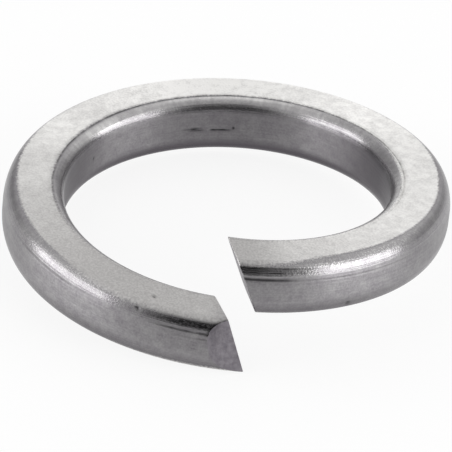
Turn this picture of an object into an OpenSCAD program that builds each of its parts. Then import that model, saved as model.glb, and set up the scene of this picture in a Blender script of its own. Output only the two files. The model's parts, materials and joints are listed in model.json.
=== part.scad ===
// Spring lock washer: one turn of rolled bar, coiled left-handed with a spring set and cropped at both ends.
// Z is the axis of the bore, and height 0 is the lowest corner, at the tip of the low end.
// The split faces the front, -Y. The low end comes to it from the left, and the high end from the right.

/* [Bore and bar] */
// Inside diameter of the washer
bore_d = 18.7; // [14:0.1:30]
// Width of the bar, along the radius
bar_w = 3.5; // [2.5:0.1:5]
// Thickness of the bar, along the axis
bar_t = 3.35; // [3:0.05:5]

/* [Rolled edges] */
// Width of the outer edges' rounds, along the radius
outer_round_w = 0.7; // [0.2:0.05:1.2]
// Height of the outer edges' rounds, along the axis
outer_round_h = 1.4; // [0.4:0.05:1.45]
// Width of the inner edges' rounds, along the radius
inner_round_w = 0.7; // [0.3:0.05:1.2]
// Height of the inner upper edge's round, along the axis
inner_round_h = 0.9; // [0.2:0.05:1.2]
// Height of the inner lower edge's round, along the axis
inner_low_h = 0.6; // [0.2:0.05:1.2]

/* [Spring set] */
// Clear height between the two ends where one stands above the other, with the washer free
end_lift = 0.6; // [0.4:0.05:2]

/* [Cropped ends] */
// Turn of the split about the axis, from the front
split_turn = 5.8; // [-90:0.1:90]
// Width of the split seen from above, midway across the bar
split_gap = 0.32; // [0.1:0.02:1]
// Turn of the low end's cut off the radial line, seen from above
low_skew = 14; // [0:0.5:25]
// Lean of the low end's cut off the axis
low_lean = 18.4; // [0:0.1:25]
// Turn of the high end's cut off the radial line, seen from above
high_skew = 9.5; // [0:0.5:25]
// Lean of the high end's cut off the axis
high_lean = 21; // [0:0.1:25]

/* [Crop flat] */
// Length of the flat that the cropping tool leaves on the low end, along the outer wall
flat_len = 1.75; // [1:0.05:3]
// Turn of the flat off the wall, seen from above
flat_turn = 23; // [10:1:35]
// Tilt of the flat, which cuts deeper at its top
flat_tilt = 5; // [0:1:12]

/* [Hidden] */
// Straight steps in one full turn of the coil, and in each rolled edge
turn_steps = 144;
outer_round_steps = 6;
inner_round_steps = 5;
// Roundness of the two true cylinders
bore_fn = 180;
// Stock that the rolled bar carries past both walls before the true cylinders trim it
wall_stock = 0.025;
// Run of bar past each cut before it is cropped, and the overshoot of a cutting shape
crop_stock = 1;
overshoot = 1;

bore_r = bore_d / 2;
outer_r = bore_r + bar_w;
mean_r = bore_r + bar_w / 2;

// Rise of the coil over one full turn, and its slope at the middle of the bar
rise = bar_t + end_lift;
coil_slope = rise / (2 * PI * mean_r);

// Distance along the coil from the middle of a cut to its furthest corner, and the overlap of the turns there
cut_reach = max(reach_of(low_skew, low_lean), reach_of(high_skew, high_lean));
overlap_turn = turn_along(cut_reach + crop_stock, bore_r);

// Turn from the split to the tip, the lowest corner of the low end, where the bar's underside meets its round
tip_r = outer_r - outer_round_w;
tip_reach = bar_t / 2 * tan(low_lean) / cos(low_skew) + (tip_r - mean_r) * tan(low_skew) - split_gap / 2;
tip_turn = turn_along(tip_reach, tip_r);

// Turn from the split to the start of the crop flat on the outer wall
flat_start = turn_along(flat_len + split_gap / 2 - bar_w / 2 * tan(low_skew), outer_r);

full_h = bar_height(360 + overlap_turn) + bar_t;

// Angle that a length takes up on a circle, in degrees
function turn_along(length, radius) = length / radius * 180 / PI;

// Distance from the middle of a cut to its furthest corner
function reach_of(skew, lean) = bar_t / 2 * tan(lean) / cos(skew) + bar_w / 2 * tan(skew);

// Height of the bar's underside after a turn along the coil from the split, with the tip at height 0
function bar_height(turn) = rise * (turn + tip_turn) / 360;

// Points of a quarter ellipse round [x, y], anticlockwise from the angle given
function quarter(x, y, w, h, from, steps) =
    [for (i = [0:steps]) [x + w * cos(from + 90 * i / steps), y + h * sin(from + 90 * i / steps)]];

// Outline of the rolled bar as [radius, height], with its four rounded edges in turn
function bar_section() =
    let (outer_x = outer_r - outer_round_w, inner_x = bore_r + inner_round_w)
    let (outer_w = outer_round_w + wall_stock, inner_w = inner_round_w + wall_stock)
    concat(
        quarter(outer_x, bar_t - outer_round_h, outer_w, outer_round_h, 0, outer_round_steps),
        quarter(inner_x, bar_t - inner_round_h, inner_w, inner_round_h, 90, inner_round_steps),
        quarter(inner_x, inner_low_h, inner_w, inner_low_h, 180, inner_round_steps),
        quarter(outer_x, outer_round_h, outer_w, outer_round_h, 270, outer_round_steps)
    );

// A section point carried along the coil, which climbs clockwise seen from above
function on_coil(p, turn) =
    let (a = split_turn - turn)
    [p[0] * sin(a), -p[0] * cos(a), p[1] + bar_height(turn)];

// The rolled bar swept along the coil, a little more than one turn of it
module coil() {
    section = bar_section();
    n = len(section);
    first = -overlap_turn;
    last = 360 + overlap_turn;
    rings = ceil(turn_steps * (last - first) / 360);
    points = [
        for (k = [0:rings])
            for (p = section)
                on_coil(p, first + (last - first) * k / rings)
    ];
    walls = [
        for (k = [0:rings - 1])
            for (j = [0:n - 1])
                [k * n + j, k * n + (j + 1) % n, (k + 1) * n + (j + 1) % n, (k + 1) * n + j]
    ];
    start_cap = [for (j = [n - 1:-1:0]) j];
    end_cap = [for (j = [0:n - 1]) rings * n + j];
    polyhedron(points, concat(walls, [start_cap, end_cap]));
}

// The ring between the two true walls, over the coil's whole height
module wall_ring() {
    translate([0, 0, bar_height(-overlap_turn) - overshoot])
        difference() {
            cylinder(h = full_h + 2 * overshoot, r = outer_r, $fn = bore_fn);
            translate([0, 0, -overshoot])
                cylinder(h = full_h + 4 * overshoot, r = bore_r, $fn = bore_fn);
        }
}

// A side view of what a cut takes away, carried right across the bar at the split
module across_split(skew) {
    rotate([0, 0, split_turn])
        translate([0, -mean_r, 0])
            rotate([0, 0, skew])
                rotate([90, 0, 0])
                    linear_extrude(2 * bar_w, center = true)
                        children();
}

// Both cuts lean the same way, and each stays on its own side of the clear height between the turns.
mid_low = bar_height(0) + bar_t / 2;
mid_gap = mid_low + rise / 2;
cut_far = 2 * (cut_reach + crop_stock);

// Place of a cut in the side view at a height, from the middle of its own end
function low_x(height) = -split_gap / 2 - height * tan(low_lean);
function high_x(height) = split_gap / 2 - height * tan(high_lean);

// Everything past the low end's face, below the turns' gap
module low_cut() {
    bottom = -rise - overshoot;
    across_split(low_skew)
        polygon([
            [low_x(bottom - mid_low), bottom],
            [cut_far + rise, bottom],
            [cut_far + rise, mid_gap - coil_slope * (cut_far + rise)],
            [low_x(mid_gap - mid_low), mid_gap]
        ]);
}

// Everything past the high end's face, above the turns' gap
module high_cut() {
    top = full_h + overshoot;
    across_split(high_skew)
        polygon([
            [high_x(mid_gap - mid_low - rise), mid_gap],
            [high_x(top - mid_low - rise), top],
            [-cut_far, top],
            [-cut_far, mid_gap + coil_slope * cut_far]
        ]);
}

// The flat beside the low end, through the outer wall at its start
module crop_flat() {
    low = -bar_t;
    high = rise / 2;
    rotate([0, 0, split_turn - flat_start])
        translate([0, -outer_r, bar_height(flat_start) + bar_t / 2])
            rotate([0, 0, flat_turn])
                rotate([90, 0, 90])
                    linear_extrude(2 * (flat_len + bar_t), center = true)
                        polygon([
                            [low * tan(flat_tilt), low],
                            [high * tan(flat_tilt), high],
                            [-bar_w, high],
                            [-bar_w, low]
                        ]);
}

module washer() {
    color([0.66, 0.65, 0.66])
        difference() {
            intersection() {
                coil();
                wall_ring();
            }
            low_cut();
            high_cut();
            crop_flat();
        }
}

washer();
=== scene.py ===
"""Spring lock washer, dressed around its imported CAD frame.

One turn of rolled steel bar, coiled left-handed with a spring set and cropped at both ends. The file is
laid out as an add-on and run as a script: main() calls the operators in order.
Lengths are metres in the frame of the CAD: Z is the axis of the bore, and the split faces the front, -Y.
"""
import json
import math

import bmesh
import bpy
import numpy as np
from bpy.props import FloatProperty, FloatVectorProperty, IntProperty, PointerProperty
from mathutils import Matrix, Vector


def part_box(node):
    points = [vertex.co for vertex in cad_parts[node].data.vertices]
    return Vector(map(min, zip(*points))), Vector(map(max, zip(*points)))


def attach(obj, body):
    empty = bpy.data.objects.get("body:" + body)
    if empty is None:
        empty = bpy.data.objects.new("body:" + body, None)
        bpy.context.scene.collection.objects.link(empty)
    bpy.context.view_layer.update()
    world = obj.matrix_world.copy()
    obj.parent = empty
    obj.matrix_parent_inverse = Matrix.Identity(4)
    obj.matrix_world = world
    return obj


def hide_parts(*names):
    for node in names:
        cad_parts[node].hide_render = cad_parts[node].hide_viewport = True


bl_info = {
    "name": "Spring Lock Washer",
    "version": (1, 0, 0),
    "blender": (4, 5, 0),
    "location": "3D View > Sidebar > Washer",
    "description": "A split spring lock washer of rolled steel bar, and the studio that it is shown in",
    "category": "Add Mesh",
}

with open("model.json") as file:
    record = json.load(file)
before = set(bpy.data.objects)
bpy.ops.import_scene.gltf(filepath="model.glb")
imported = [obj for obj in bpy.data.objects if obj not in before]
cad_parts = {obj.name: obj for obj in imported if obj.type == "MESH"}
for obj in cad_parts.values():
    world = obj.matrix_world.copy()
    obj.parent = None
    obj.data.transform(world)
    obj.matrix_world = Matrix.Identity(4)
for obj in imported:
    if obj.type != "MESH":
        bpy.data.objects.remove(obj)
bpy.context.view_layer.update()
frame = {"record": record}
MM = 0.001
BORE = next(m for m in frame["record"]["mounts"] if m["name"] == "bore")
BORE_R = BORE["dims"]["r_mm"] * MM
OUTER_R = round(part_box("washer")[1][0], 5)


# Sizes and colours that a user would change

def length(name, text, millimetres):
    """A length of the washer, in metres."""
    return FloatProperty(
        name=name, description=text, default=millimetres * MM, min=0, precision=5, unit="LENGTH",
        subtype="DISTANCE",
    )


def angle(name, text, degrees):
    """An angle of the washer, in radians."""
    return FloatProperty(
        name=name, description=text, default=math.radians(degrees), unit="ROTATION", subtype="ANGLE"
    )


def linear(colour):
    """An sRGB hex colour as the linear red, green and blue that shaders work in."""
    shares = [int(colour[i:i + 2], 16) / 255 for i in (1, 3, 5)]
    return [s / 12.92 if s <= 0.04045 else ((s + 0.055) / 1.055) ** 2.4 for s in shares]


def tint(name, text, colour):
    """A colour, given as sRGB hex."""
    return FloatVectorProperty(
        name=name, description=text, default=linear(colour), min=0, max=1, size=3, subtype="COLOR"
    )


class BarSizes(bpy.types.PropertyGroup):
    """The rolled bar and its coil."""

    bore_r: length("Bore radius", "Inside radius of the washer", BORE_R / MM)
    outer_r: length("Outside radius", "Outside radius of the washer", OUTER_R / MM)
    bar_t: length("Bar thickness", "Thickness of the bar, along the axis", 3.35)
    outer_round_w: length("Outer round width", "Width of the outer edges' rounds", 0.7)
    outer_round_h: length("Outer round height", "Height of the outer edges' rounds", 1.4)
    inner_round_w: length("Inner round width", "Width of the inner edges' rounds", 0.7)
    inner_round_h: length("Inner round height", "Height of the inner upper edge's round", 0.9)
    inner_low_h: length("Inner lower round height", "Height of the inner lower edge's round", 0.6)
    end_lift: length("End lift", "Clear height between the two ends, with the washer free", 0.6)
    stations: IntProperty(
        name="Stations", description="Steps of the mesh along the coil", default=900, min=48
    )


class EndSizes(bpy.types.PropertyGroup):
    """The split and its two cropped ends."""

    split_turn: angle("Split turn", "Turn of the split about the axis, from the front", 5.8)
    split_gap: length("Split gap", "Width of the split seen from above, midway across the bar", 0.32)
    low_skew: angle("Low skew", "Turn of the low end's cut off the radial line", 14)
    low_lean: angle("Low lean", "Lean of the low end's cut off the axis", 18.4)
    high_skew: angle("High skew", "Turn of the high end's cut off the radial line", 9.5)
    high_lean: angle("High lean", "Lean of the high end's cut off the axis", 21)
    broken_edge: length("Broken edge", "Width of the worn edge round each cut", 0.035)
    flat_len: length("Flat length", "Length of the crop flat along the outer wall", 1.75)
    flat_turn: angle("Flat turn", "Turn of the crop flat off the wall, seen from above", 23)
    flat_tilt: angle("Flat tilt", "Tilt of the crop flat, which cuts deeper at its top", 5)


class SteelColours(bpy.types.PropertyGroup):
    """Colours of the bare steel."""

    face: tint("Bearing face", "Tumbled bearing faces, pale and matt", "#fdfcfa")
    # Painted shade of the bearing faces, which turn to this colour toward the front and the two ends
    dull: tint("Dull face", "Bearing faces beside the ends, where the stones reached less", "#b5b3b2")
    wall: tint("Drawn wall", "Smooth walls as they left the rolls", "#a09f9f")
    wall_dark: tint("Darker wall", "Darker patches of the walls", "#7b777c")
    # Painted shade at the lower edges and on the inner wall, partly dark scale left by the rolls
    scale: tint("Mill scale", "Lower edges, where some scale of the rolls is left", "#565257")
    # Also the painted shadow behind the inner burr and the painted dark reflection beside the ends
    scored: tint("Score marks", "Dirt in the draw lines, pits and nicks", "#2b2a2c")
    cut: tint("Cropped end", "Sheared ends and the crop flat", "#89858a")
    cut_dark: tint("Torn grain", "Darker torn grain of the sheared ends", "#6f6b71")


class StudioSettings(bpy.types.PropertyGroup):
    """The floor, the lights and the camera."""

    floor: tint("Floor", "Colour of the floor", "#fbfbfb")
    floor_r: FloatProperty(
        name="Floor radius", description="Radius of the floor, past the horizon of a low view",
        default=2.2, min=0.5, unit="LENGTH",
    )
    camera_lift: angle("Camera elevation", "Height of the camera over the washer's plane", 29.895)
    camera_roll: angle("Camera roll", "Roll of the camera, as the washer lies tilted on its set", -5.98)
    camera_far: length("Camera distance", "Distance of the camera from the washer", 352.7)
    lens: FloatProperty(
        name="Focal length", description="Focal length in millimetres", default=486.9, min=1
    )


# The rolled bar

def smooth_noise(places, period, rng):
    """Soft noise from -1 to 1 at places along a line, with a knot every period."""
    low = math.floor(places.min() / period) - 1
    knots = rng.uniform(-1, 1, math.ceil(places.max() / period) - low + 3)
    at = places / period - low
    whole = np.floor(at).astype(int)
    part = at - whole
    ease = part * part * (3 - 2 * part)
    return knots[whole] * (1 - ease) + knots[whole + 1] * ease


def bump_at(distance, width, power=2):
    """A hump that is 1 at distance 0 and dies away over the width. A higher power flattens its top."""
    return np.exp(-(np.abs(distance) / width) ** power)


def band(across, place, width, power=2):
    """A hump over a place across the section, with the place and the width in millimetres."""
    return bump_at(across - place * MM, width * MM, power)


# Points of each run of the section's outline, from which the mesh takes its columns
OUTLINE_STEPS = 240


class Bar:
    """Section and coil of the washer's bar, from the same sizes as the CAD source.

    Places along the coil are degrees from the front, clockwise seen from above. Places across the section
    are millimetres round it, inward from the outer edge of the upper bearing face, so they are negative on
    the outer round and wall. A band is a place and a width, both in millimetres.
    """

    # Mesh columns of each run of the section, in the order of the runs
    SECTION_STEPS = (4, 12, 3, 18, 14, 12, 10, 7, 4)
    # Extra columns beside both edges of the bearing face, in millimetres inside it, for the burrs
    EDGE_COLUMNS = (0.2, 0.1, 0.05, 0.0, -0.05, -0.1, -0.16, -0.24)
    # Extra columns across the deepest draw lines and scratches, three to each, and their spacing
    LINE_COLUMNS = (-0.58, -0.8, -1.2, 4.25, 4.35)
    COLUMN_GAP = 0.04
    # Insets of a cropped end's rings inside its worn edge, and the least share of its size that one keeps
    CAP_INSETS = (0.25, 0.6, 1.0, 1.4)
    LEAST_RING = 0.04
    # Step in radians and rounds of the search for the place where a line of the coil meets a cut
    SEARCH_STEP = 1e-4
    SEARCH_ROUNDS = 6

    # Draw lines and scratches: angles where each starts, fully shows, fades and ends, place, width and
    # strength. One that starts below 0 or ends past 360 runs off its end of the bar.
    LINES = (
        ((330, 345, 400, 401), -0.58, 0.06, 1.0), ((328, 344, 400, 401), -0.8, 0.06, 1.0),
        ((334, 345, 400, 401), -1.2, 0.07, 1.0), ((296, 312, 330, 345), -1.24, 0.03, 0.35),
        ((318, 334, 400, 401), -1.81, 0.03, 0.4), ((-20, -10, 10, 17), -1.17, 0.03, 0.9),
        ((-20, -10, 3, 12), -1.5, 0.03, 0.4), ((26, 36, 56, 70), -1.05, 0.025, 0.5),
        ((160.5, 162, 166, 169), 4.25, 0.05, 1.0), ((163, 165, 168, 170), 4.35, 0.04, 0.9),
        ((171, 172, 178, 179.5), 4.35, 0.05, 1.0), ((66, 76, 98, 112), 2.9, 0.13, 0.55),
        ((205, 214, 240, 250), 3.0, 0.08, 0.55), ((236, 250, 275, 290), 3.15, 0.16, 0.5),
    )
    LINE_DEPTH = 0.03
    LINE_SEED = 7

    # Pits and nicks: angle, place, radius and depth
    MARKS = (
        (17.5, 0.65, 0.1, 0.05), (20.0, -0.61, 0.07, 0.04), (324.5, -3.15, 0.13, 0.06),
        (121.5, 4.13, 0.09, 0.04), (179.7, 4.22, 0.09, 0.04),
    )

    # Painted dark reflection on the outer round beside the low end and the high end: how dark, and where
    DARK_BAND_LOW = ((0, 0.9), (8, 0.85), (15, 0.45), (21, 0))
    DARK_BAND_LOW_PLACE = (-0.7, 0.26)
    DARK_BAND_HIGH = ((338, 0), (346, 0.2), (352, 0.4))
    DARK_BAND_HIGH_PLACE = (-0.64, 0.11)

    # A dark line painted on the rolled round along the crop flat's upper edge: share and width, where it
    # lies across the section, and the turn in radians that it ends at
    FLAT_RIM = (0.9, 0.06)
    FLAT_RIM_FROM, FLAT_RIM_TO = -1.3, -0.1
    FLAT_RIM_TURN = 0.5

    # How far the pale tumbled finish runs past the outer edge of the bearing face, in millimetres
    PALE_OUT = (
        (0, 0.44), (14, 0.4), (26, 0.34), (34, 0.2), (44, 0.0), (52, -0.1), (65, -0.12), (78, -0.11),
        (90, -0.04), (102, 0.1), (115, 0.2), (180, 0.24), (242, 0.12), (254, -0.03), (268, -0.14),
        (290, -0.17), (325, -0.26), (333, -0.2), (341, 0.14), (352, 0.4), (360, 0.44),
    )
    # And past the inner edge, where it stops short of the burr
    PALE_IN = (
        (0, 0.1), (50, 0.06), (90, -0.12), (120, -0.16), (200, -0.14), (225, -0.1), (240, 0.0),
        (255, 0.12), (275, 0.08), (360, 0.1),
    )
    # How sharply that finish ends at the outer round, and at the inner burr
    OUTER_SHARPNESS = (
        (38, 1), (52, 1.8), (95, 1.8), (110, 1), (225, 1), (245, 2.4), (300, 2.4), (322, 1.8), (332, 1),
    )
    INNER_SHARPNESS = 2.2

    # Painted light and shade of the bearing face along the coil: paler at the back, darker toward the ends
    PAINTED_FACE_LIGHT = (
        (0, 0.3), (10, 0.2), (20, 0.14), (30, 0.06), (40, 0.06), (50, 0.12), (60, 0.26), (70, 0.34),
        (80, 0.42), (90, 0.6), (100, 0.56), (110, 0.8), (120, 0.84), (130, 0.58), (140, 0.7), (150, 0.8),
        (160, 1), (180, 1), (200, 0.8), (225, 0.8), (245, 0.86), (290, 0.86), (300, 0.76), (310, 0.6),
        (320, 0.46), (330, 0.36), (340, 0.42), (350, 0.16), (360, 0.14),
    )

    # Inner upper round, partly worn pale and partly a painted highlight: how pale, and the band past its
    # edge
    WEAR_AND_HIGHLIGHT_IN = (
        (80, 0.03), (100, 0.1), (112, 0.28), (122, 0.4), (130, 0.38), (140, 0.26), (150, 0.2), (160, 0.1),
        (185, 0.1), (198, 0.2), (210, 0.2), (220, 0.06), (240, 0.06), (255, 0.09), (270, 0.19),
        (290, 0.13), (360, 0.08),
    )
    WEAR_AND_HIGHLIGHT_BAND = (0.38, 0.26)
    # And the strip just under its burr, also partly a painted highlight
    RIM_WEAR_AND_HIGHLIGHT = ((120, 0), (150, 0.08), (160, 0.3), (188, 0.32), (200, 0.1), (215, 0))
    RIM_WEAR_AND_HIGHLIGHT_BAND = (0.18, 0.13)
    WEAR_AND_HIGHLIGHT_SEED = 5

    # How far the inner wall and the rounds are painted dark, from 0 to 1: partly scale, partly painted
    # shade
    INNER_SCALE_AND_SHADE = (
        (92, 1), (100, 0.95), (110, 0.8), (120, 0.5), (130, 0.12), (140, 0.08), (150, 0.25), (160, 0.34),
        (180, 0.33), (190, 0.25), (200, 0.28), (210, 0.2), (220, 0.4), (230, 0.68), (240, 0.85), (248, 1),
        (275, 1), (360, 0.8),
    )
    EDGE_SCALE_AND_SHADE = ((55, 0), (72, 0.45), (96, 0.45), (108, 0), (228, 0), (242, 0.25), (262, 0.25), (275, 0))
    OUTER_SCALE_AND_SHADE = (
        (16, 0), (28, 0.25), (42, 0.28), (54, 0.08), (66, 0), (74, 0.2), (82, 0.5), (92, 0.6), (105, 0.6),
        (120, 0.45), (235, 0.3), (250, 0.5), (262, 0.6), (272, 0.45), (282, 0.15), (288, 0),
    )
    OUTER_SCALE_AND_SHADE_BAND = (-0.6, 0.45)
    # Where the painted shade starts down the outer wall or past the inner edge, and the run over which it
    # builds up
    OUTER_LOW_SHADE = (2.6, 1.0)
    INNER_LOW_SHADE = (2.6, 0.6)
    INNER_WALL_SCALE_AND_SHADE = (0.7, 0.4)
    INNER_ROUND_SCALE_AND_SHADE = (0.05, 0.15)

    # Painted highlight streaks on the outer round: angle of the middle and reach each way in degrees,
    # place below the outer edge and width in millimetres, and strength
    HIGHLIGHT_STREAKS = (
        (37, 18, 0.28, 0.24, 0.8), (55, 20, 0.6, 0.3, 0.2), (314, 19, 0.2, 0.26, 0.9),
        (330, 8, 0.4, 0.22, 0.8), (341, 8, 0.75, 0.3, 0.6),
    )
    # Painted glints on the burr of the inner edge: how strong, and their band, measured past that edge
    SPARKLE = (
        (0, 0.3), (30, 0.5), (75, 0.6), (90, 0), (105, 0.1), (130, 0.3), (150, 0.5), (165, 1), (190, 1),
        (200, 0.7), (215, 0.3), (236, 0.3), (248, 0.9), (258, 1.8), (282, 1.8), (296, 0.8), (310, 0.5),
        (360, 0.3),
    )
    SPARKLE_BAND = (0.12, 0.08)

    # Painted shadow behind that burr: how dark, and its two bands past that edge, of which the second is
    # fainter
    BURR_SHADOW = (
        (0, 0.05), (50, 0.1), (75, 0.3), (95, 0.6), (120, 0.95), (195, 0.9), (225, 0.9), (245, 0.7),
        (256, 0.55), (266, 0.25), (290, 0.05),
    )
    BURR_SHADOW_BAND = (-0.04, 0.055)
    FAINT_SHADOW_BAND = (-0.2, 0.07)
    FAINT_SHADOW = 0.35
    BURR_SHADOW_SEED = 31

    # Height of the inner edge's burr in millimetres, its band and the band of the groove behind it
    LIP = (
        (0, 0.02), (80, 0.022), (110, 0.02), (180, 0.016), (235, 0.03), (250, 0.07), (280, 0.07),
        (300, 0.025), (360, 0.02),
    )
    LIP_BAND = (0.09, 0.06)
    GROOVE_BAND = (-0.05, 0.05)
    # Height of the outer edge's soft ridge in millimetres, and its band
    RIDGE = ((0, 0.006), (20, 0.012), (60, 0.018), (100, 0.008), (260, 0.006), (330, 0.01), (360, 0.006))
    RIDGE_BAND = (0, 0.12)
    BURR_SEED = 18

    def __init__(self, bar, ends):
        self.bar = bar
        self.ends = ends
        self.mean_r = (bar.bore_r + bar.outer_r) / 2
        self.rise = bar.bar_t + bar.end_lift
        tip_r = bar.outer_r - bar.outer_round_w
        tip_reach = bar.bar_t / 2 * math.tan(ends.low_lean) / math.cos(ends.low_skew) - ends.split_gap / 2
        tip_reach += (tip_r - self.mean_r) * math.tan(ends.low_skew)
        self.tip_turn = tip_reach / tip_r
        half_w = (bar.outer_r - bar.bore_r) / 2
        flat_reach = ends.flat_len + ends.split_gap / 2 - half_w * math.tan(ends.low_skew)
        self.flat_start = flat_reach / bar.outer_r
        self.make_section()

    def make_section(self):
        """The section's points and normals, and each point's place round it.

        The runs go from the middle of the underside out, up, in over the bearing face, down and back.
        """
        b = self.bar
        out_x = b.outer_r - b.outer_round_w
        in_x = b.bore_r + b.inner_round_w
        mid_x = (out_x + in_x) / 2
        top = b.bar_t
        runs = (
            self.straight(mid_x, 0, out_x, 0),
            self.quarter(out_x, b.outer_round_h, b.outer_round_w, b.outer_round_h, 270),
            self.straight(b.outer_r, b.outer_round_h, b.outer_r, top - b.outer_round_h),
            self.quarter(out_x, top - b.outer_round_h, b.outer_round_w, b.outer_round_h, 0),
            self.straight(out_x, top, in_x, top),
            self.quarter(in_x, top - b.inner_round_h, b.inner_round_w, b.inner_round_h, 90),
            self.straight(b.bore_r, top - b.inner_round_h, b.bore_r, b.inner_low_h),
            self.quarter(in_x, b.inner_low_h, b.inner_round_w, b.inner_low_h, 180),
            self.straight(in_x, 0, mid_x, 0),
        )
        outline = np.concatenate(runs)
        ahead = np.roll(outline, -1, axis=0) - outline
        place = np.concatenate([[0], np.cumsum(np.hypot(ahead[:, 0], ahead[:, 1]))])
        self.girth = place[-1]
        ends = place[np.arange(len(runs) + 1) * OUTLINE_STEPS]
        low_out, top_out, top_in, low_in = (ends[k] for k in (1, 4, 5, 8))
        even = np.concatenate([
            np.linspace(ends[k], ends[k + 1], steps, endpoint=False)
            for k, steps in enumerate(self.SECTION_STEPS)
        ])
        gap = self.COLUMN_GAP
        fine = np.concatenate([
            [top_out + (line + side) * MM for line in self.LINE_COLUMNS for side in (-gap, 0, gap)],
            top_out + np.array(self.EDGE_COLUMNS) * MM,
            top_in - np.array(self.EDGE_COLUMNS) * MM,
        ])
        even = [p for p in even if np.abs(fine - p).min() > gap * MM]
        at = np.sort(np.concatenate([even, fine]))
        closed = np.vstack([outline, outline[:1]])
        self.points = np.stack([np.interp(at, place, closed[:, k]) for k in (0, 1)], axis=1)
        along = ahead + np.roll(ahead, 1, axis=0)
        along = np.vstack([along, along[:1]])
        along = np.stack([np.interp(at, place, along[:, k]) for k in (0, 1)], axis=1)
        self.normals = np.stack([along[:, 1], -along[:, 0]], axis=1)
        self.normals /= np.hypot(self.normals[:, 0], self.normals[:, 1])[:, None]
        self.place = np.append(at, self.girth + at[0])
        self.across = at - top_out
        self.face_w = top_in - top_out
        on_top = (at >= top_out) & (at <= top_in)
        self.from_outer = np.where(on_top, at - top_out, -np.minimum(at - low_out, top_out - at))
        self.from_outer = np.where(at > top_in, self.girth - at + low_out, self.from_outer)
        self.from_inner = np.where(on_top, top_in - at, -np.minimum(at - top_in, low_in - at))
        self.from_inner = np.where(at < top_out, at + self.girth - low_in, self.from_inner)

    def along(self, turn, table):
        """Values along the coil, from a table of angles and values."""
        return np.interp(np.degrees(turn - self.ends.split_turn), *zip(*table))

    @staticmethod
    def straight(x0, z0, x1, z1):
        """Points of a straight run, without its last one."""
        t = np.arange(OUTLINE_STEPS)[:, None] / OUTLINE_STEPS
        return np.array([[x0, z0]]) * (1 - t) + np.array([[x1, z1]]) * t

    @staticmethod
    def quarter(x, z, w, h, start):
        """Points of a quarter ellipse from the angle given, without its last one."""
        a = np.radians(start + 90 * np.arange(OUTLINE_STEPS) / OUTLINE_STEPS)
        return np.stack([x + w * np.cos(a), z + h * np.sin(a)], axis=1)

    def height(self, turn):
        """Height of the bar's underside after a turn along the coil, with the tip at height 0."""
        return self.rise * (turn + self.tip_turn) / (2 * math.pi)

    def on_coil(self, x, z, turn):
        """Section points carried along the coil, which climbs clockwise seen from above."""
        a = self.ends.split_turn - turn
        return np.stack([x * np.sin(a), -x * np.cos(a), z + self.height(turn)], axis=-1)

    def cut_turn(self, x, z, high):
        """Turn at which a line of the coil meets the cut of its low end, or of its high end."""
        e = self.ends
        a = e.split_turn + (e.high_skew if high else e.low_skew)
        lean = math.tan(e.high_lean if high else e.low_lean)
        middle = self.mean_r * np.array([math.sin(e.split_turn), -math.cos(e.split_turn)])
        centre_z = self.height(0) + self.bar.bar_t / 2 + (self.rise if high else 0)
        offset = e.split_gap / 2 if high else -e.split_gap / 2

        def past(turn):
            p = self.on_coil(x, z, turn)
            across = (p[..., 0] - middle[0]) * math.cos(a) + (p[..., 1] - middle[1]) * math.sin(a)
            return across - offset + (p[..., 2] - centre_z) * lean

        turn = np.full(np.shape(x), 2 * math.pi if high else 0.0)
        for _ in range(self.SEARCH_ROUNDS):
            here = past(turn)
            turn = turn - here * self.SEARCH_STEP / (past(turn + self.SEARCH_STEP) - here)
        return turn

    def painted_dark_bands(self, turn):
        """Grainy bands of painted dark reflection on the ends' outer round, from 0 to 1."""
        low = band(self.across, *self.DARK_BAND_LOW_PLACE, power=4)
        high = band(self.across, *self.DARK_BAND_HIGH_PLACE)
        return low * self.along(turn, self.DARK_BAND_LOW) + high * self.along(turn, self.DARK_BAND_HIGH)

    def draw_lines(self, turn):
        """How deep each point lies in a draw line or scratch, from 0 to 1."""
        rng = np.random.default_rng(self.LINE_SEED)
        deep = np.zeros(turn.shape)
        for (start, full, fade, end), place, width, strength in self.LINES:
            waver = np.clip(0.85 + 0.45 * smooth_noise(turn * self.mean_r, 0.4 * MM, rng), 0, 1)
            there = self.along(turn, ((start, 0), (full, strength), (fade, strength), (end, 0)))
            deep = np.maximum(deep, waver * there * band(self.across, place, width))
        return deep

    def pits(self, turn):
        """Relief of the pits and nicks, in metres, and how far each point is inside one, from 0 to 1."""
        dent = np.zeros(turn.shape)
        inside = np.zeros(turn.shape)
        for degrees, place, radius, depth in self.MARKS:
            run = (turn - self.ends.split_turn - math.radians(degrees)) * self.mean_r
            far = np.hypot(run, self.across - place * MM)
            near = band(far, 0, radius)
            dent -= near * depth * MM
            inside = np.maximum(inside, near)
        return dent, inside

    def flat_plane(self):
        """A point on the crop flat, and the direction that it faces."""
        e = self.ends
        facing = e.split_turn - self.flat_start + e.flat_turn
        spot = self.on_coil(self.bar.outer_r, self.bar.bar_t / 2, self.flat_start)
        normal = np.array([
            math.sin(facing) * math.cos(e.flat_tilt),
            -math.cos(facing) * math.cos(e.flat_tilt),
            math.sin(e.flat_tilt),
        ])
        return spot, normal

    def flat_rim(self, turn, points):
        """A dark line painted along the crop flat's upper edge, from 0 to 1."""
        spot, normal = self.flat_plane()
        share, width = self.FLAT_RIM
        on_round = (self.across < self.FLAT_RIM_TO * MM) & (self.across > self.FLAT_RIM_FROM * MM)
        return share * (on_round & (turn < self.FLAT_RIM_TURN)) * band((points - spot) @ normal, 0, width)

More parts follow.
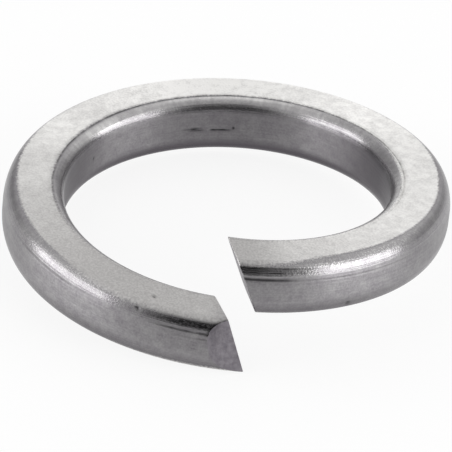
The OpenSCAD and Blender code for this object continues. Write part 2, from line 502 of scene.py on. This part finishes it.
    def make_cap(self, high_end):
        """Rings of points over a cropped end, from its worn edge in, and their places on the section."""
        centre = np.array([self.mean_r, self.bar.bar_t / 2])
        reach = self.points - centre
        far = np.hypot(reach[:, 0], reach[:, 1])[:, None]
        rings = []
        places = []
        for inset in (self.ends.broken_edge, *(inset * MM for inset in self.CAP_INSETS)):
            place = centre + reach * np.maximum(1 - inset / far, self.LEAST_RING)
            x, z = place.T
            rings.append(self.on_coil(x, z, self.cut_turn(x, z, high_end)))
            places.append(place)
        return rings, places

    def pale_depth(self, turn):
        """How far each point lies inside the pale tumbled finish, in metres, negative outside it."""
        outer = self.from_outer + self.along(turn, self.PALE_OUT) * MM
        inner = self.from_inner + self.along(turn, self.PALE_IN) * MM
        return np.minimum(self.along(turn, self.OUTER_SHARPNESS) * outer, self.INNER_SHARPNESS * inner)

    def wear_and_highlight(self, turn):
        """How pale the inner upper round is, from 0 to 1: partly wear by the stones, partly a painted
        highlight.
        """
        past = self.across - self.face_w
        pale = band(past, *self.WEAR_AND_HIGHLIGHT_BAND, power=4) * self.along(turn, self.WEAR_AND_HIGHLIGHT_IN)
        rim = band(past, *self.RIM_WEAR_AND_HIGHLIGHT_BAND) * self.along(turn, self.RIM_WEAR_AND_HIGHLIGHT)
        strokes = smooth_noise(turn * self.mean_r, 0.22 * MM, np.random.default_rng(self.WEAR_AND_HIGHLIGHT_SEED))
        return (pale + rim) * (1 + 0.35 * strokes)

    def burr_shadow_line(self, turn):
        """Painted shadow in the groove behind the burr of the inner edge, from 0 to 1."""
        rng = np.random.default_rng(self.BURR_SHADOW_SEED)
        run = turn * self.mean_r
        coarse = smooth_noise(run, 0.8 * MM, rng)
        fine = smooth_noise(run, 0.2 * MM, rng)
        broken = np.clip(0.75 + 0.4 * coarse + 0.5 * fine, 0, 1)
        past = self.across - self.face_w + 0.03 * MM * coarse
        line = band(past, *self.BURR_SHADOW_BAND) + self.FAINT_SHADOW * band(past, *self.FAINT_SHADOW_BAND)
        return broken * line * self.along(turn, self.BURR_SHADOW)

    def scale_and_shade_share(self, turn):
        """How dark each point is painted, from 0 to 1: painted shade at the lower edges, partly scale and
        partly painted shade on the inner wall and the rounds.
        """

        def built_up(depth, start, run):
            return np.clip((depth - start) / run, 0, 1)

        outside = built_up(-self.across / MM, *self.OUTER_LOW_SHADE)
        outside = outside + self.along(turn, self.OUTER_SCALE_AND_SHADE) * band(self.across, *self.OUTER_SCALE_AND_SHADE_BAND)
        past = (self.across - self.face_w) / MM
        inside = built_up(past, *self.INNER_LOW_SHADE)
        wall = self.along(turn, self.INNER_SCALE_AND_SHADE) * built_up(past, *self.INNER_WALL_SCALE_AND_SHADE)
        edge = self.along(turn, self.EDGE_SCALE_AND_SHADE) * built_up(past, *self.INNER_ROUND_SCALE_AND_SHADE)
        inside = np.maximum(np.maximum(inside, wall), edge)
        return np.where(self.across < 0, outside, inside)

    def wall_share(self, turn):
        """How far each point lies on the drawn walls rather than on the rounds, from 0 to 1."""
        outside = np.clip((-self.from_outer / MM - 0.9) / 0.6, 0, 1)
        inside = np.clip((-self.from_inner / MM - 0.9) / 0.4, 0, 1)
        return np.broadcast_to(np.maximum(outside, inside), turn.shape)

    def grain_and_glint(self, turn):
        """Where the outer round and the inner burr get a granular bump and painted highlights and glints,
        from 0 up.
        """
        past = self.across - self.face_w
        bright = self.along(turn, self.SPARKLE) * band(past, *self.SPARKLE_BAND)
        for middle, reach, place, width, strength in self.HIGHLIGHT_STREAKS:
            near = strength * bump_at(np.degrees(turn - self.ends.split_turn) - middle, reach)
            bright = np.maximum(bright, near * band(self.across, -place, width))
        return bright

    def relief(self, turn):
        """Fine relief of the surface in metres: edge burrs, draw lines, pits and nicks."""
        rng = np.random.default_rng(self.BURR_SEED)
        run = turn * self.mean_r
        coarse = smooth_noise(run, 1.6 * MM, rng)
        fine = smooth_noise(run, 0.18 * MM, rng)
        ragged = np.clip(0.5 + 0.4 * coarse + 0.6 * fine, 0, 1.3)
        past = self.across - self.face_w
        lip = self.along(turn, self.LIP) * MM
        lip = lip * (ragged * band(past, *self.LIP_BAND) - band(past, *self.GROOVE_BAND))
        ridge = self.along(turn, self.RIDGE) * MM * (0.8 + 0.3 * coarse)
        ridge = ridge * band(self.across, *self.RIDGE_BAND)
        lines = -self.LINE_DEPTH * MM * self.draw_lines(turn)
        return lip + ridge + lines + self.pits(turn)[0]


def grid_faces(rows, columns):
    """Quads between rows of points that close on themselves, facing outward."""
    i = np.arange(rows - 1)[:, None]
    j = np.arange(columns)[None, :]
    k = (j + 1) % columns
    quads = [i * columns + j, i * columns + k, (i + 1) * columns + k, (i + 1) * columns + j]
    return np.stack(np.broadcast_arrays(*quads), axis=-1).reshape(-1, 4)


# Faces that meet at more than this angle, in degrees, keep a sharp edge
SHARP_ANGLE = 32


def make_bar_mesh(bar_sizes, end_sizes):
    """The washer's mesh: the swept bar, its two cropped ends and the crop flat."""
    bar = Bar(bar_sizes, end_sizes)
    x, z = bar.points.T
    n = len(x)
    low = bar.cut_turn(x, z, False)
    high = bar.cut_turn(x, z, True)
    edge = end_sizes.broken_edge / bar.mean_r
    share = np.linspace(0, 1, bar_sizes.stations + 1)[:, None]
    turn = (low + edge) * (1 - share) + (high - edge) * share
    relief = bar.relief(turn)
    body = bar.on_coil(x + relief * bar.normals[:, 0], z + relief * bar.normals[:, 1], turn)
    low_rings, places = bar.make_cap(False)
    high_rings, _ = bar.make_cap(True)
    rows = [*low_rings[::-1], *body, *high_rings]
    depth = len(low_rings)
    quads = grid_faces(len(rows), n)
    caps = [np.arange(n)[::-1].tolist(), (np.arange(n) + (len(rows) - 1) * n).tolist()]
    mesh = bpy.data.meshes.new("washer_bar")
    mesh.from_pydata(np.concatenate(rows).tolist(), [], quads.tolist() + caps)
    row_of_face = np.repeat(np.arange(len(rows) - 1), n)
    sheared = (row_of_face < depth - 1) | (row_of_face >= len(rows) - depth)
    index = np.concatenate([sheared, [True, True]]).astype(np.int32)
    mesh.polygons.foreach_set("material_index", index)
    whole = np.vstack([turn[:1]] * depth + [turn] + [turn[-1:]] * depth)
    lay_out(mesh, bar, places, depth, whole)
    for name, values in (
        ("tumbled", bar.pale_depth(whole) / MM),
        ("scored", np.maximum(bar.draw_lines(whole), bar.flat_rim(whole, np.array(rows)))),
        ("pitted", bar.pits(whole)[1]),
        ("painted_face_light", bar.along(whole, bar.PAINTED_FACE_LIGHT)),
        ("grain_and_glint", bar.grain_and_glint(whole)),
        ("wear_and_highlight", bar.wear_and_highlight(whole)),
        ("painted_dark_bands", bar.painted_dark_bands(whole)),
        ("drawn", bar.wall_share(whole)),
        ("scale", bar.scale_and_shade_share(whole)),
        ("burr_shadow", bar.burr_shadow_line(whole)),
    ):
        layer = mesh.attributes.new(name, "FLOAT", "POINT")
        layer.data.foreach_set("value", values.astype(np.float32).ravel())
    cut_flat(mesh, bar)
    mesh.shade_smooth()
    mesh.set_sharp_from_angle(angle=math.radians(SHARP_ANGLE))
    mesh.validate()
    return mesh


# The bake's map is a square that holds the bar in two strips, with the caps and the flat above them.
BAKE_STRIP = 0.98
BAKE_MARGIN = 0.01
# Gap between the strips in millimetres, and the scale and the places of the caps and the flat
STRIP_GAP = 0.2
CAP_SCALE = 70
LOW_CAP_SPOT = (0.14, 0.86)
HIGH_CAP_SPOT = (0.42, 0.86)
FLAT_SPOT = (0.7, 0.86)


def lay_out(mesh, bar, places, depth, turn):
    """Two UV maps: the bar unrolled at its real size, and the same cut into strips that fill a square."""
    rows, n = turn.shape
    row = np.repeat(np.arange(rows - 1), n)
    column = np.tile(np.arange(n), rows - 1)
    corner_row = np.stack([row, row, row + 1, row + 1], axis=1)
    corner_column = np.stack([column, column + 1, column + 1, column], axis=1)
    run = turn * bar.mean_r
    real = np.zeros((len(mesh.loops), 2))
    count = corner_row.size
    real[:count, 0] = run[corner_row, corner_column % n].ravel()
    real[:count, 1] = bar.place[corner_column].ravel()
    mesh.uv_layers.new(name="unrolled").data.foreach_set("uv", real.astype(np.float32).ravel())

    bake = np.zeros((len(mesh.loops), 2))
    steps = rows - 2 * depth - 1
    half = steps / 2
    strip = (row - depth >= half).astype(int)[:, None]
    strip_length = half * (turn[-1] - turn[0]).mean() * bar.mean_r / steps
    across = BAKE_STRIP / strip_length / 2
    up = strip * (bar.girth + STRIP_GAP * MM) + bar.place[corner_column]
    bake[:count, 0] = (BAKE_MARGIN + (corner_row - depth - strip * half) / half * BAKE_STRIP).ravel()
    bake[:count, 1] = (BAKE_MARGIN + up * across).ravel()
    for first, spot, order in ((0, LOW_CAP_SPOT, places[::-1]), (rows - depth, HIGH_CAP_SPOT, places)):
        flat = spot + (np.array(order) - places[0].mean(axis=0)) * CAP_SCALE
        on_cap = (row >= first) & (row < first + depth - 1)
        corners = np.flatnonzero(on_cap)[:, None] * 4 + np.arange(4)
        bake[corners] = flat[corner_row[on_cap] - first, corner_column[on_cap] % n]
    inmost = (places[-1] - places[0].mean(axis=0)) * CAP_SCALE
    bake[count:count + n] = LOW_CAP_SPOT + inmost[::-1]
    bake[count + n:] = HIGH_CAP_SPOT + inmost
    mesh.uv_layers.new(name="OFBake").data.foreach_set("uv", bake.astype(np.float32).ravel())


# How far round the crop flat its plane cuts the mesh, in millimetres, and the cut's tolerance in metres
FLAT_REACH = 4.5
CUT_TOLERANCE = 1e-8


def cut_flat(mesh, bar):
    """Shears the outer wall away beside the low end, along the crop flat."""
    spot, normal = bar.flat_plane()
    bm = bmesh.new()
    bm.from_mesh(mesh)
    top = spot[2] + bar.rise / 2
    near = []
    for face in bm.faces:
        x, y, z = face.calc_center_median()
        if z < top and math.hypot(x - spot[0], y - spot[1]) < FLAT_REACH * MM:
            near.append(face)
    parts = list({v for f in near for v in f.verts}) + list({x for f in near for x in f.edges}) + near
    made = bmesh.ops.bisect_plane(
        bm, geom=parts, dist=CUT_TOLERANCE, clear_outer=True,
        plane_co=Vector(spot), plane_no=Vector(normal),
    )
    rim = [x for x in made["geom_cut"] if isinstance(x, bmesh.types.BMEdge)]
    filled = bmesh.ops.contextual_create(bm, geom=rim)["faces"]
    if len(filled) != 1:
        raise RuntimeError("the crop flat didn't close")
    filled[0].material_index = 1
    bake = bm.loops.layers.uv["OFBake"]
    along = Vector((-normal[1], normal[0], 0)).normalized()
    for loop in filled[0].loops:
        offset = (loop.vert.co - Vector(spot)) * CAP_SCALE
        loop[bake].uv = (FLAT_SPOT[0] + offset.dot(along), FLAT_SPOT[1] + offset.z)
    bmesh.ops.recalc_face_normals(bm, faces=bm.faces)
    bm.to_mesh(mesh)
    bm.free()


# Materials

def add(tree, kind, inputs=None, **settings):
    """Adds a shader node with its settings, and sets or links its inputs."""
    node = tree.nodes.new("ShaderNode" + kind)
    for name, value in settings.items():
        setattr(node, name, value)
    for key, value in (inputs or {}).items():
        socket = node.inputs[key]
        if isinstance(value, bpy.types.NodeSocket):
            tree.links.new(value, socket)
        else:
            socket.default_value = value
    return node


# Sizes of the patterns' grains in millimetres. The stones' grain, the rolls' lines and the skin's pebbles
# are some 0.05 mm across, which wouldn't show, so these three are drawn coarser.
GRAIN = 0.12
BLOTCH = 0.6
ROLL_LINE = 0.12
ROLL_LINE_LENGTH = 6
PEBBLE = 0.16
TORN_GRAIN = 0.3
SMEAR = 0.2
SMEAR_LENGTH = 1.2
# Height of the bump in every finish, in millimetres
BUMP = 0.03


def per_metre(millimetres):
    """Scale of a pattern whose grains have this size."""
    return 1 / (millimetres * MM)


def new_material(name):
    """An empty material, its node tree and its output node."""
    material = bpy.data.materials.new(name)
    material.use_nodes = True
    tree = material.node_tree
    tree.nodes.clear()
    return material, tree, add(tree, "OutputMaterial")


def make_bar_steel(colours):
    """Spring steel bar, rolled and coiled, then tumbled.

    The bearing faces took the tumbling stones: they are pale and matt, with a fine grain. The walls and
    rolled edges keep the smooth darker skin of the rolls, with faint lines along the bar, so they mirror
    softly.
    """
    material, tree, out = new_material("rolled_spring_steel")
    place = add(tree, "TexCoord").outputs["Object"]
    tumbled_mm, scored, pitted, painted_face_light, grain_and_glint, wear_and_highlight, painted_dark_bands, drawn, scale, burr_shadow = (
        add(tree, "Attribute", attribute_name=name).outputs["Fac"]
        for name in (
            "tumbled", "scored", "pitted", "painted_face_light", "grain_and_glint", "wear_and_highlight", "painted_dark_bands", "drawn", "scale",
            "burr_shadow",
        )
    )
    grain, blotch = (
        add(
            tree, "TexNoise", {"Vector": place, "Scale": per_metre(size), "Detail": detail}
        ).outputs["Fac"]
        for size, detail in ((GRAIN, 2.0), (BLOTCH, 3.0))
    )
    unrolled = add(tree, "UVMap", uv_map="unrolled").outputs["UV"]
    stretched = add(
        tree,
        "Mapping",
        {"Vector": unrolled, "Scale": (per_metre(ROLL_LINE_LENGTH), per_metre(ROLL_LINE), 1)},
    ).outputs["Vector"]
    lines = add(tree, "TexNoise", {"Vector": stretched, "Scale": 1.0, "Detail": 2.0}).outputs["Fac"]
    ragged = add(tree, "Math", {0: grain, 1: 0.5}, operation="SUBTRACT").outputs[0]
    edge, skin_grain, skin_height = (
        add(tree, "Math", {0: value, 1: share, 2: base}, operation="MULTIPLY_ADD").outputs[0]
        for value, share, base in ((ragged, 0.45, tumbled_mm), (lines, 0.5, grain), (grain, 0.5, lines))
    )
    tumbled = add(
        tree,
        "MapRange",
        {"Value": edge, "From Min": -0.2, "From Max": 0.16},
        interpolation_type="SMOOTHSTEP",
    ).outputs["Result"]
    pebbles = add(tree, "TexVoronoi", {"Vector": place, "Scale": per_metre(PEBBLE)}).outputs["Distance"]
    skin = add(tree, "Math", {0: skin_grain, 1: blotch}).outputs[0]
    speckle, cloud, glint, patches, skin_share, skin_rough = (
        add(
            tree,
            "MapRange",
            {"Value": value, "From Min": low, "From Max": high, "To Min": start, "To Max": end},
        ).outputs["Result"]
        for value, low, high, start, end in (
            (grain, 0.35, 0.65, -0.12, 0.11),
            (blotch, 0.3, 0.7, 0.78, 1.22),
            (pebbles, 0.1, 0.5, 0.5, 0.22),
            (grain, 0.4, 0.55, 0.1, 1.0),
            (skin, 0.75, 1.75, 0.0, 1.0),
            (drawn, 0.0, 1.0, 0.26, 0.42),
        )
    )
    paleness = add(tree, "Math", {0: cloud, 1: painted_face_light, 2: speckle}, operation="MULTIPLY_ADD").outputs[0]
    pale = add(
        tree,
        "Mix",
        {"Factor": paleness, "A": (*colours.dull, 1), "B": (*colours.face, 1)},
        data_type="RGBA",
    ).outputs["Result"]
    # The skin's pebbles break the painted highlights into painted glints, and its grain breaks up the
    # painted dark reflection bands.
    painted_glints = add(tree, "Math", {0: grain_and_glint, 1: glint}, operation="MULTIPLY").outputs[0]
    painted_dark_grain = add(tree, "Math", {0: painted_dark_bands, 1: patches}, operation="MULTIPLY").outputs[0]
    # The face colour also paints the highlights and glints on the rounds
    bright = (*colours.face, 1)
    dirt_and_shade = (*colours.scored, 1)
    colour = (*colours.wall_dark, 1)
    # Over the skin go painted shade, painted highlights and glints, the pale face, painted dark reflection
    # bands, score marks, the burr's painted shadow and dirt in the pits
    for share, over in (
        (skin_share, (*colours.wall, 1)), (scale, (*colours.scale, 1)), (wear_and_highlight, bright), (painted_glints, bright),
        (tumbled, pale), (painted_dark_grain, dirt_and_shade), (scored, dirt_and_shade), (burr_shadow, dirt_and_shade), (pitted, dirt_and_shade),
    ):
        layer = {"Factor": share, "A": colour, "B": over}
        colour = add(tree, "Mix", layer, data_type="RGBA").outputs["Result"]
    pebbled = add(tree, "Math", {0: tumbled, 1: grain_and_glint}, operation="MAXIMUM").outputs[0]
    rough, fine = (
        add(tree, "Mix", {"Factor": share, "A": under, "B": over}, data_type="FLOAT").outputs["Result"]
        for share, under, over in ((tumbled, skin_rough, 0.5), (grain_and_glint, grain, pebbles))
    )
    height = add(
        tree, "Mix", {"Factor": pebbled, "A": skin_height, "B": fine}, data_type="FLOAT"
    ).outputs["Result"]
    strength = add(tree, "MapRange", {"Value": pebbled, "To Min": 0.45, "To Max": 1.0}).outputs["Result"]
    bump = add(
        tree, "Bump", {"Height": height, "Strength": strength, "Distance": BUMP * MM}
    ).outputs["Normal"]
    # The rolls' lines run along the bar, so its sheen is drawn out across them.
    along = add(tree, "Tangent", direction_type="UV_MAP", uv_map="unrolled").outputs["Tangent"]
    steel = add(
        tree,
        "BsdfPrincipled",
        {
            "Base Color": colour, "Metallic": 1.0, "Roughness": rough, "Normal": bump,
            "Anisotropic": 0.8, "Anisotropic Rotation": 0.25, "Tangent": along,
        },
    )
    tree.links.new(steel.outputs["BSDF"], out.inputs["Surface"])
    return material


def make_sheared_steel(colours):
    """Steel where the bar was cropped: a dull torn grain, smeared along the stroke of the blade."""
    material, tree, out = new_material("sheared_steel")
    place = add(tree, "TexCoord").outputs["Object"]
    torn = add(
        tree,
        "TexNoise",
        {"Vector": place, "Scale": per_metre(TORN_GRAIN), "Detail": 5.0, "Roughness": 0.65},
    ).outputs["Fac"]
    strokes = add(
        tree,
        "Mapping",
        {"Vector": place, "Scale": (per_metre(SMEAR), per_metre(SMEAR), per_metre(SMEAR_LENGTH))},
    ).outputs["Vector"]
    smear = add(tree, "TexNoise", {"Vector": strokes, "Scale": 1.0, "Detail": 3.0}).outputs["Fac"]
    height = add(tree, "Math", {0: smear, 1: 0.4, 2: torn}, operation="MULTIPLY_ADD").outputs[0]
    share = add(tree, "MapRange", {"Value": height, "From Min": 0.5, "From Max": 0.9}).outputs["Result"]
    colour = add(
        tree,
        "Mix",
        {"Factor": share, "A": (*colours.cut_dark, 1), "B": (*colours.cut, 1)},
        data_type="RGBA",
    ).outputs["Result"]
    bump = add(tree, "Bump", {"Height": height, "Strength": 0.7, "Distance": BUMP * MM}).outputs["Normal"]
    steel = add(
        tree,
        "BsdfPrincipled",
        {"Base Color": colour, "Metallic": 1.0, "Roughness": 0.42, "Normal": bump},
    )
    tree.links.new(steel.outputs["BSDF"], out.inputs["Surface"])
    return material


# The studio

def rest_slopes(bar):
    """Rise of the plane that the washer's underside rests on, to the right and to the back."""
    return bar.rise / (2 * math.pi * bar.bar.outer_r), bar.rise / (4 * bar.bar.outer_r)


def direction(azimuth, elevation):
    """Unit vector for an azimuth in degrees, from the front to the right, and an elevation."""
    a, e = math.radians(azimuth), math.radians(elevation)
    return Vector((math.sin(a) * math.cos(e), -math.cos(a) * math.cos(e), math.sin(e)))


# How much of the floor's white shows whatever falls on it, also in the steel; the rest keeps the shadow.
FLOOR_GLOW = 0.85
# The floor's mesh: even rings out to some outside radii of the washer, wider ones beyond, and steps around
NEAR_RADII = 3
NEAR_RINGS = 40
FAR_RINGS = 16
FLOOR_STEPS = 96
# Where it turns from the washer's tilt to level, in outside radii: the start and the run
LEVEL_FROM = 1.1
LEVEL_RUN = 1.2


def make_floor(settings, bar, washer):
    """A plain floor that meets the washer's underside and runs out level."""
    slope_x, slope_y = rest_slopes(bar)
    points = np.empty(len(washer.data.vertices) * 3)
    washer.data.vertices.foreach_get("co", points)
    x, y, z = points.reshape(-1, 3).T
    base = (z - slope_x * x - slope_y * y).min()
    radii = np.concatenate([
        np.linspace(0, NEAR_RADII * bar.bar.outer_r, NEAR_RINGS),
        np.geomspace((NEAR_RADII + 0.1) * bar.bar.outer_r, settings.floor_r, FAR_RINGS),
    ])
    around = np.linspace(0, 2 * np.pi, FLOOR_STEPS + 1)[:-1]
    rr, aa = np.meshgrid(radii[1:], around, indexing="ij")
    part = np.clip((rr / bar.bar.outer_r - LEVEL_FROM) / LEVEL_RUN, 0, 1)
    fade = 1 - part * part * (3 - 2 * part)
    px, py = rr * np.cos(aa), rr * np.sin(aa)
    pz = base + fade * (slope_x * px + slope_y * py)
    grid = np.stack([px, py, pz], axis=-1).reshape(-1, 3)
    mesh = bpy.data.meshes.new("floor")
    quads = grid_faces(len(radii) - 1, len(around))
    fan = [[len(grid), j, (j + 1) % len(around)] for j in range(len(around))]
    mesh.from_pydata(np.vstack([grid, [[0, 0, base]]]).tolist(), [], quads[:, ::-1].tolist() + fan)
    mesh.shade_smooth()
    floor = bpy.data.objects.new("floor", mesh)
    bpy.context.collection.objects.link(floor)
    # Matt white paper, which has no gloss and takes a soft shadow
    material, tree, out = new_material("white_paper_sweep")
    paper = add(tree, "BsdfDiffuse", {"Color": (*settings.floor, 1)}).outputs["BSDF"]
    path = add(tree, "LightPath").outputs
    seen = add(tree, "Math", {0: path["Is Camera Ray"], 1: path["Is Glossy Ray"]}).outputs[0]
    seen = add(tree, "Math", {0: seen, 1: path["Is Transmission Ray"]}, use_clamp=True).outputs[0]
    share = add(tree, "Math", {0: seen, 1: FLOOR_GLOW}, operation="MULTIPLY").outputs[0]
    white = add(tree, "Emission", {"Color": (1, 1, 1, 1), "Strength": 1.0}).outputs["Emission"]
    shown = add(tree, "MixShader", {"Fac": share, 1: paper, 2: white}).outputs["Shader"]
    tree.links.new(shown, out.inputs["Surface"])
    mesh.materials.append(material)


SOFTBOXES = {
    # name: azimuth and elevation in degrees, distance, width and height in metres, power in watts
    "left_softbox": (-76, 10, 1.0, 0.9, 0.6, 5.8),
    "right_softbox": (75, 12, 1.0, 0.85, 0.6, 6),
}


def make_lights():
    """Large soft lamps at both sides, which the camera doesn't see."""
    for name, (azimuth, elevation, far, width, height, power) in SOFTBOXES.items():
        lamp = bpy.data.lights.new(name, "AREA")
        lamp.shape = "RECTANGLE"
        lamp.size = width
        lamp.size_y = height
        lamp.energy = power
        box = bpy.data.objects.new(name, lamp)
        box.location = direction(azimuth, elevation) * far
        box.rotation_euler = (-box.location).to_track_quat("-Z", "Y").to_euler()
        box.visible_camera = False
        bpy.context.collection.objects.link(box)


# Brightness of the sky away from its patches
SKY_LEVEL = 0.85
# Sine of the elevation below which the floor's white is seen
HORIZON = 0.002
SKY_PATCHES = (
    # azimuth, elevation, inner and outer angle in degrees, brightness
    (180, 28, 20, 60, 0.95),
    (135, 8, 8, 30, 0.55),
    (-135, 8, 8, 30, 0.6),
    (3, 12, 22, 45, 0.04),
)


def make_sky():
    """The studio round the washer: pale above, dark round the camera, and the floor's white below."""
    world = bpy.data.worlds.new("studio")
    bpy.context.scene.world = world
    world.use_nodes = True
    tree = world.node_tree
    tree.nodes.clear()
    way = add(tree, "TexCoord").outputs["Generated"]
    level = SKY_LEVEL
    for azimuth, elevation, inner, outer, brightness in SKY_PATCHES:
        cosine = add(
            tree, "VectorMath", {0: way, 1: direction(azimuth, elevation)}, operation="DOT_PRODUCT"
        ).outputs["Value"]
        start, full = (math.cos(math.radians(spread)) for spread in (outer, inner))
        part = add(
            tree,
            "MapRange",
            {"Value": cosine, "From Min": start, "From Max": full},
            interpolation_type="SMOOTHSTEP",
        ).outputs["Result"]
        level = add(
            tree, "Mix", {"Factor": part, "A": level, "B": brightness}, data_type="FLOAT"
        ).outputs["Result"]
    up = add(tree, "SeparateXYZ", {"Vector": way}).outputs["Z"]
    below = add(tree, "Math", {0: up, 1: HORIZON}, operation="LESS_THAN").outputs[0]
    level = add(tree, "Mix", {"Factor": below, "A": level, "B": 1.0}, data_type="FLOAT").outputs["Result"]
    back = add(tree, "Background", {"Color": level})
    out = add(tree, "OutputWorld")
    tree.links.new(back.outputs["Background"], out.inputs["Surface"])


# How far above the coil's middle the camera aims, in outside radii
AIM_UP = -0.0945
# Its sensor's width in millimetres, and the nearest and furthest that it sees in metres
SENSOR_WIDTH = 36
CLIP_NEAR = 0.01
CLIP_FAR = 10


def make_camera(settings, bar):
    """The camera, in front of the washer and above it, rolled as the washer lies tilted."""
    up_z = math.sin(settings.camera_lift)
    level = math.cos(settings.camera_lift)
    back = Vector((0, -level, up_z))
    right = Vector((1, 0, 0))
    up = Vector((0, up_z, level))
    c, s = math.cos(settings.camera_roll), math.sin(settings.camera_roll)
    right, up = right * c - up * s, right * s + up * c
    aim = Vector((0, 0, bar.height(math.pi + bar.ends.split_turn) + bar.bar.bar_t / 2))
    aim += up * AIM_UP * bar.bar.outer_r
    camera = bpy.data.objects.new("camera", bpy.data.cameras.new("camera"))
    camera.data.sensor_width = SENSOR_WIDTH
    camera.data.lens = settings.lens
    camera.data.clip_start = CLIP_NEAR
    camera.data.clip_end = CLIP_FAR
    place = aim + back * settings.camera_far
    turn = Matrix((right, up, back)).transposed()
    camera.matrix_world = Matrix.LocRotScale(place, turn.to_quaternion(), None)
    bpy.context.collection.objects.link(camera)
    bpy.context.scene.camera = camera


# Operators and panel

class WASHER_OT_add_washer(bpy.types.Operator):
    """Adds the washer's rolled bar, in place of the CAD solid"""

    bl_idname = "washer.add_washer"
    bl_label = "Add washer"

    def execute(self, context):
        scene = context.scene
        mesh = make_bar_mesh(scene.washer_bar, scene.washer_ends)
        mesh.materials.append(make_bar_steel(scene.washer_colours))
        mesh.materials.append(make_sheared_steel(scene.washer_colours))
        piece = bpy.data.objects.new("washer_bar", mesh)
        context.collection.objects.link(piece)
        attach(piece, "root")
        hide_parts("washer")
        return {"FINISHED"}


class WASHER_OT_add_studio(bpy.types.Operator):
    """Adds the floor, the lights, the sky and the camera"""

    bl_idname = "washer.add_studio"
    bl_label = "Add studio"

    def execute(self, context):
        scene = context.scene
        bar = Bar(scene.washer_bar, scene.washer_ends)
        make_floor(scene.washer_studio, bar, bpy.data.objects["washer_bar"])
        make_lights()
        make_sky()
        make_camera(scene.washer_studio, bar)
        scene.view_settings.view_transform = "Standard"
        return {"FINISHED"}


class WASHER_PT_panel(bpy.types.Panel):
    """The washer's sizes, colours and steps"""

    bl_label = "Spring Lock Washer"
    bl_space_type = "VIEW_3D"
    bl_region_type = "UI"
    bl_category = "Washer"

    def draw(self, context):
        layout = self.layout
        for group in SETTINGS:
            box = layout.box()
            settings = getattr(context.scene, group)
            for name in SETTINGS[group].__annotations__:
                box.prop(settings, name)
        for step in STEPS:
            layout.operator(step.bl_idname)


SETTINGS = {
    "washer_bar": BarSizes,
    "washer_ends": EndSizes,
    "washer_colours": SteelColours,
    "washer_studio": StudioSettings,
}
STEPS = (WASHER_OT_add_washer, WASHER_OT_add_studio)
CLASSES = (*SETTINGS.values(), *STEPS, WASHER_PT_panel)


def register():
    for cls in CLASSES:
        bpy.utils.register_class(cls)
    for name, group in SETTINGS.items():
        setattr(bpy.types.Scene, name, PointerProperty(type=group))


def unregister():
    for name in SETTINGS:
        delattr(bpy.types.Scene, name)
    for cls in reversed(CLASSES):
        bpy.utils.unregister_class(cls)


def main():
    register()
    bpy.ops.washer.add_washer()
    bpy.ops.washer.add_studio()


if __name__ == "__main__":
    main()
